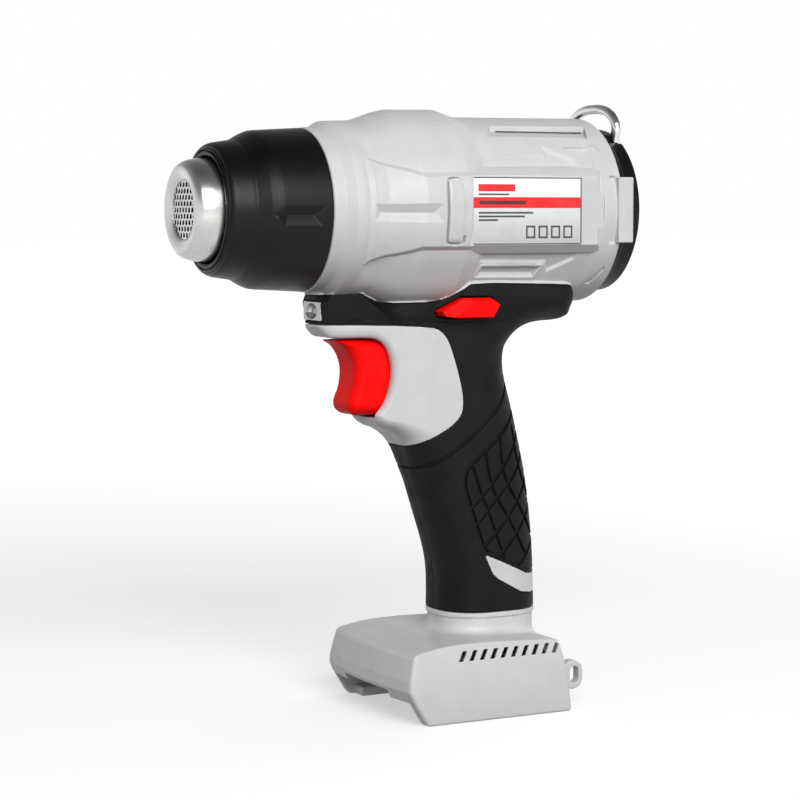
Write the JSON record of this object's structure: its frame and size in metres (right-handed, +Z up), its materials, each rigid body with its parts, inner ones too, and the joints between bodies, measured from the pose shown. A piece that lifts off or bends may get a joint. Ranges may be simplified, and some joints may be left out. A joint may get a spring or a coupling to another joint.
{
  "type": "cordless heat gun",
  "caption": "Cordless pistol-grip heat gun: grey clamshell body, black stepped nozzle collar, steel outlet tube, red trigger, folding rear hook, slide-on battery foot.",
  "frame": {"origin": "centre of the bounding box on the plane that the battery foot stands on", "axes": "+Z up, the nozzle points to -Y, +X is the user's left when the tool is held"},
  "size_m": [0.0734, 0.1716, 0.2244],
  "materials": {
    "housing_grey": "fine spark-eroded grain on ABS",
    "grip_rubber": "matte over-mould",
    "nylon_black": "satin glass-filled nylon",
    "inner_black": "plain moulded",
    "trigger_red": "satin",
    "nozzle_steel": "turned and polished",
    "motor_steel": "plated",
    "coil_wire": "drawn resistance wire",
    "mica": "pressed mica sheet",
    "board_green": "solder mask",
    "chrome": "bright plate",
    "lens_clear": "clear epoxy",
    "contact_brass": "bright",
    "label_face": "printed film",
    "screw_steel": "zinc plated"
  },
  "bodies": {
    "housing": {"housing_left": "housing_grey", "housing_right": "housing_grey", "grip_cover_left": "grip_rubber", "grip_cover_right": "grip_rubber", "nozzle_collar": "nylon_black", "nozzle_tube": "nozzle_steel", "nozzle_grille": "nozzle_steel", "heat_sleeve": "mica", "heater_former": "mica", "heating_coil": "coil_wire", "thermal_fuse": "motor_steel", "motor": "motor_steel", "motor_mount": "inner_black", "switch_body": "inner_black", "control_board": "board_green", "led_board": "board_green", "led_reflector": "chrome", "led_lens": "lens_clear", "terminal_block": "inner_black", "contact_blade_1": "contact_brass", "contact_blade_2": "contact_brass", "contact_blade_3": "contact_brass", "label_plate": "label_face", "rear_cap": "nylon_black", "housing_screw_1": "screw_steel", "housing_screw_2": "screw_steel", "housing_screw_3": "screw_steel", "housing_screw_4": "screw_steel", "housing_screw_5": "screw_steel", "housing_screw_6": "screw_steel", "housing_screw_7": "screw_steel", "housing_screw_8": "screw_steel"},
    "trigger": {"trigger": "trigger_red", "switch_plunger": "inner_black"},
    "lock": {"lock_button": "trigger_red"},
    "rotor": {"motor_shaft": "motor_steel", "impeller": "inner_black"},
    "hook": {"hanging_hook": "chrome"}
  },
  "joints": [
    {"name": "trigger_slide", "type": "slide", "parent": "housing", "child": "trigger", "axis": [0, 1, 0], "range_m": [0, 0.006], "stiffness_N_per_m": 500, "springref_m": -0.002},
    {"name": "lock_slide", "type": "slide", "parent": "housing", "child": "lock", "axis": [1, 0, 0], "range_m": [-0.0055, 0]},
    {"name": "fan_spin", "type": "hinge", "parent": "housing", "child": "rotor", "pos_m": [0, 0.0125, 0.18445], "axis": [0, -1, 0], "continuous": true},
    {"name": "hook_pivot", "type": "hinge", "parent": "housing", "child": "hook", "pos_m": [0, 0.0831, 0.20545], "axis": [1, 0, 0], "range_deg": [-110, 0]}
  ]
}
